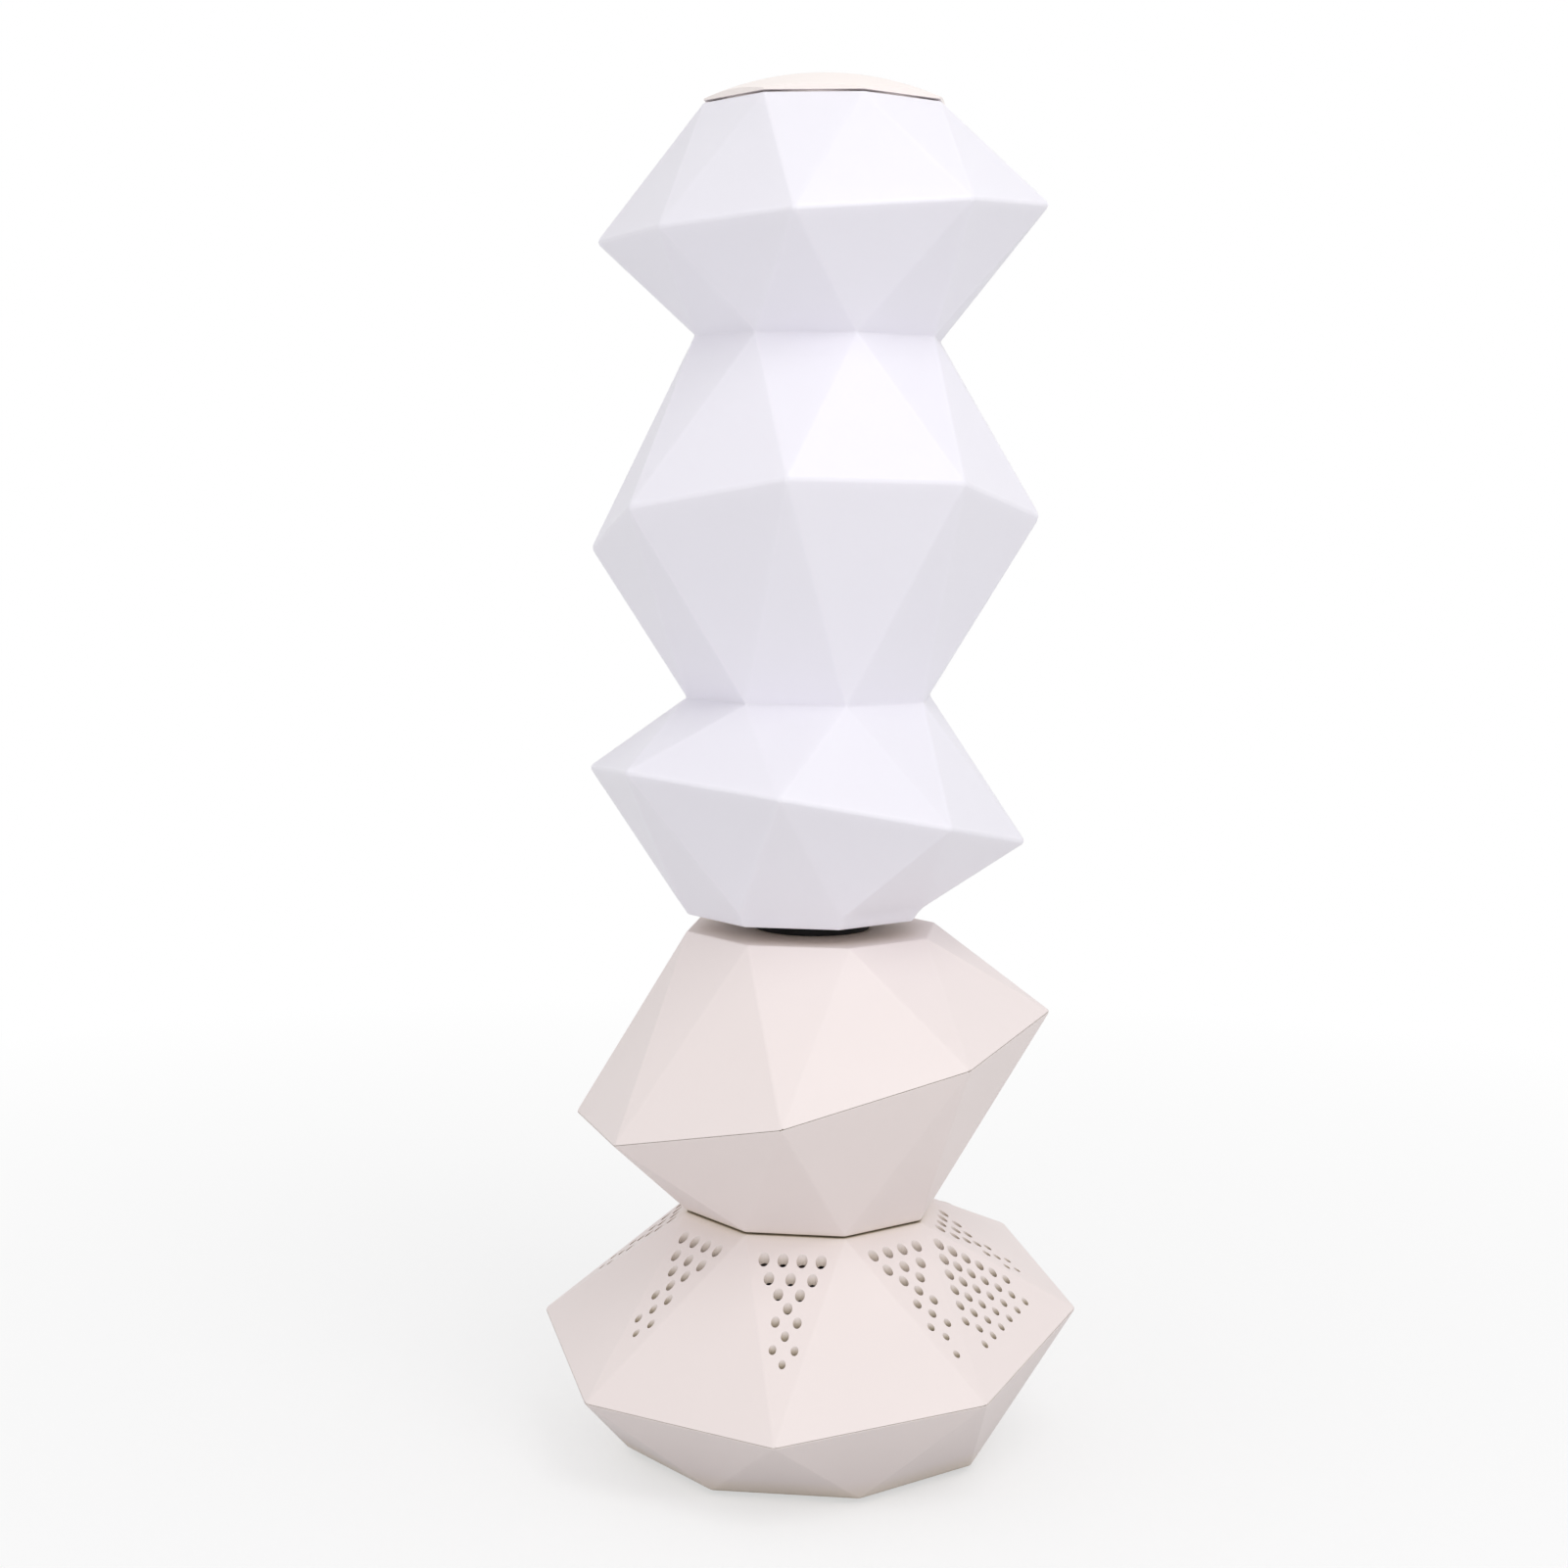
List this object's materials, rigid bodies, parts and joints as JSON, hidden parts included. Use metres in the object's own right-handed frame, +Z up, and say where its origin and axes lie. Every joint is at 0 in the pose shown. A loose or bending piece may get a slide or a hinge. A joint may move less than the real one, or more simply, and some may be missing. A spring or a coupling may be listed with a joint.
{
  "type": "bluetooth speaker lamp",
  "caption": "Table lamp like a stack of faceted stones: translucent three-lobed shade on a cream stone over a perforated speaker base, with sprung push buttons behind.",
  "frame": {"origin": "on the table, under the middle of the base", "axes": "+Z up the stack, -Y towards the viewer of the picture, +X to that viewer's right"},
  "size_m": [0.139, 0.139, 0.3502],
  "materials": {
    "cream_shell": "fine moulded satin, cream",
    "cap_plastic": "fine moulded satin, pale cream",
    "shade_plastic": "translucent white, satin",
    "button_plastic": "satin",
    "black_plastic": "fine texture",
    "white_plastic": "satin",
    "light_chip": "clear phosphor gel",
    "circuit_board": "solder mask",
    "component_black": "moulded",
    "bright_steel": "plated",
    "capacitor_can": "satin",
    "battery_wrap": "shrink wrap",
    "rubber": "matt",
    "speaker_frame": "black paint",
    "speaker_cone": "pressed pulp",
    "copper_coil": "enamelled wire",
    "speaker_iron": "zinc plated",
    "ferrite": "sintered",
    "lead_jacket": "satin jacket"
  },
  "bodies": {
    "body": {"grille_shell": "cream_shell", "base_bowl": "cream_shell", "stone_lower_shell": "cream_shell", "stone_upper_shell": "cream_shell", "top_cap": "cap_plastic", "shade": "shade_plastic", "lamp_collar": "black_plastic", "driver_clamp_ring": "black_plastic", "speaker_box": "black_plastic", "battery_cradle": "black_plastic", "light_holder": "white_plastic", "light_board": "white_plastic", "light_chips": "light_chip", "control_board": "circuit_board", "tact_switches": "component_black", "amplifier_chip": "component_black", "bluetooth_module": "bright_steel", "charging_socket": "bright_steel", "base_screws": "bright_steel", "stone_screws": "bright_steel", "lamp_screws": "bright_steel", "speaker_screws": "bright_steel", "board_screws": "bright_steel", "capacitors": "capacitor_can", "battery_cell_1": "battery_wrap", "battery_cell_2": "battery_wrap", "rubber_foot_1": "rubber", "rubber_foot_2": "rubber", "rubber_foot_3": "rubber", "rubber_foot_4": "rubber", "driver_gasket": "rubber", "driver_surround": "rubber", "driver_basket": "speaker_frame", "driver_cone": "speaker_cone", "driver_dust_cap": "speaker_cone", "driver_spider": "speaker_cone", "voice_coil": "copper_coil", "driver_top_plate": "speaker_iron", "driver_yoke": "speaker_iron", "driver_magnet": "ferrite", "lamp_lead": "lead_jacket", "battery_lead": "lead_jacket", "speaker_lead": "lead_jacket"},
    "power_button": {"power_button": "button_plastic"},
    "volume_down_button": {"volume_down_button": "button_plastic"},
    "volume_up_button": {"volume_up_button": "button_plastic"},
    "light_button": {"light_button": "button_plastic"}
  },
  "joints": [
    {"name": "power_press", "type": "slide", "parent": "body", "child": "power_button", "axis": [-0.2383, -0.3934, -0.888], "range_m": [0, 0.0006], "stiffness_N_per_m": 1200},
    {"name": "volume_down_press", "type": "slide", "parent": "body", "child": "volume_down_button", "axis": [-0.2383, -0.3934, -0.888], "range_m": [0, 0.0006], "stiffness_N_per_m": 1200},
    {"name": "volume_up_press", "type": "slide", "parent": "body", "child": "volume_up_button", "axis": [-0.2383, -0.3934, -0.888], "range_m": [0, 0.0006], "stiffness_N_per_m": 1200},
    {"name": "light_press", "type": "slide", "parent": "body", "child": "light_button", "axis": [-0.2383, -0.3934, -0.888], "range_m": [0, 0.0006], "stiffness_N_per_m": 1200}
  ]
}
